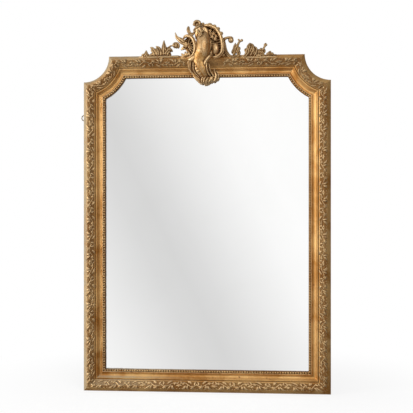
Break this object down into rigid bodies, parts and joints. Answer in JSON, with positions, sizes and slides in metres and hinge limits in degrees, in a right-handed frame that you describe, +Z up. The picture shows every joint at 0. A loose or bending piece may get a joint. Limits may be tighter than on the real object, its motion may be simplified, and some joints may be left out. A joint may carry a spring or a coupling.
{
  "type": "trumeau mirror",
  "caption": "Tall wall mirror in a gilded moulded frame with concave upper corners, a beaded sight edge, a carved rocaille crest and two hanging rings.",
  "frame": {"origin": "under the middle of the frame, on the plane of the carcass's back and level with the frame's underside", "axes": "+X to the viewer's right, +Y back towards the wall, +Z up; the glass faces -Y"},
  "size_m": [1.0822, 0.0985, 1.5899],
  "materials": {
    "gilding": "burnished gold leaf over red-brown bole on gesso and wood, worn and toned",
    "gilt_relief": "matt gold leaf on carved and cast ornament, dark in its hollows",
    "pine": "aged bare softwood, sawn and lightly stained",
    "mirror": "silvered plate glass, polished",
    "iron": "dull forged iron, lightly rusted"
  },
  "bodies": {
    "frame": {"carcass_stile_left": "pine", "moulding_stile_left": "gilding", "beads_stile_left": "gilt_relief", "carcass_corner_left": "pine", "moulding_corner_left": "gilding", "beads_corner_left": "gilt_relief", "carcass_rail_top": "pine", "moulding_rail_top": "gilding", "beads_rail_top": "gilt_relief", "carcass_corner_right": "pine", "moulding_corner_right": "gilding", "beads_corner_right": "gilt_relief", "carcass_stile_right": "pine", "moulding_stile_right": "gilding", "beads_stile_right": "gilt_relief", "carcass_rail_bottom": "pine", "moulding_rail_bottom": "gilding", "beads_rail_bottom": "gilt_relief", "relief_stile_left": "gilt_relief", "relief_corner_left": "gilt_relief", "relief_corner_right": "gilt_relief", "relief_stile_right": "gilt_relief", "relief_rail_bottom": "gilt_relief", "relief_rail_top_left": "gilt_relief", "relief_rail_top_right": "gilt_relief", "mirror_plate": "mirror", "backboard_1": "pine", "backboard_2": "pine", "backboard_3": "pine", "backboard_4": "pine", "backboard_5": "pine", "backboard_6": "pine", "glazing_block_1": "pine", "glazing_block_2": "pine", "glazing_block_3": "pine", "glazing_block_4": "pine", "glazing_block_5": "pine", "glazing_block_6": "pine", "glazing_block_7": "pine", "glazing_block_8": "pine", "crest_cartouche": "gilt_relief", "crest_shell_left": "gilt_relief", "crest_shell_right": "gilt_relief", "crest_finial": "gilt_relief", "crest_spray_left": "gilt_relief", "crest_spray_right": "gilt_relief", "crest_acanthus": "gilt_relief", "crest_bouquet": "gilt_relief", "crest_batten": "pine", "hanger_plate_left": "iron", "hanger_plate_right": "iron"},
    "ring_left": {"hanging_ring_left": "iron"},
    "ring_right": {"hanging_ring_right": "iron"}
  },
  "joints": [
    {"name": "left_ring_swing", "type": "hinge", "parent": "frame", "child": "ring_left", "pos_m": [-0.52525, 0.00565, 1.181], "axis": [0, 0, -1], "range_deg": [0, 180]},
    {"name": "right_ring_swing", "type": "hinge", "parent": "frame", "child": "ring_right", "pos_m": [0.52525, 0.00565, 1.181], "axis": [0, 0, -1], "range_deg": [0, 180]}
  ]
}
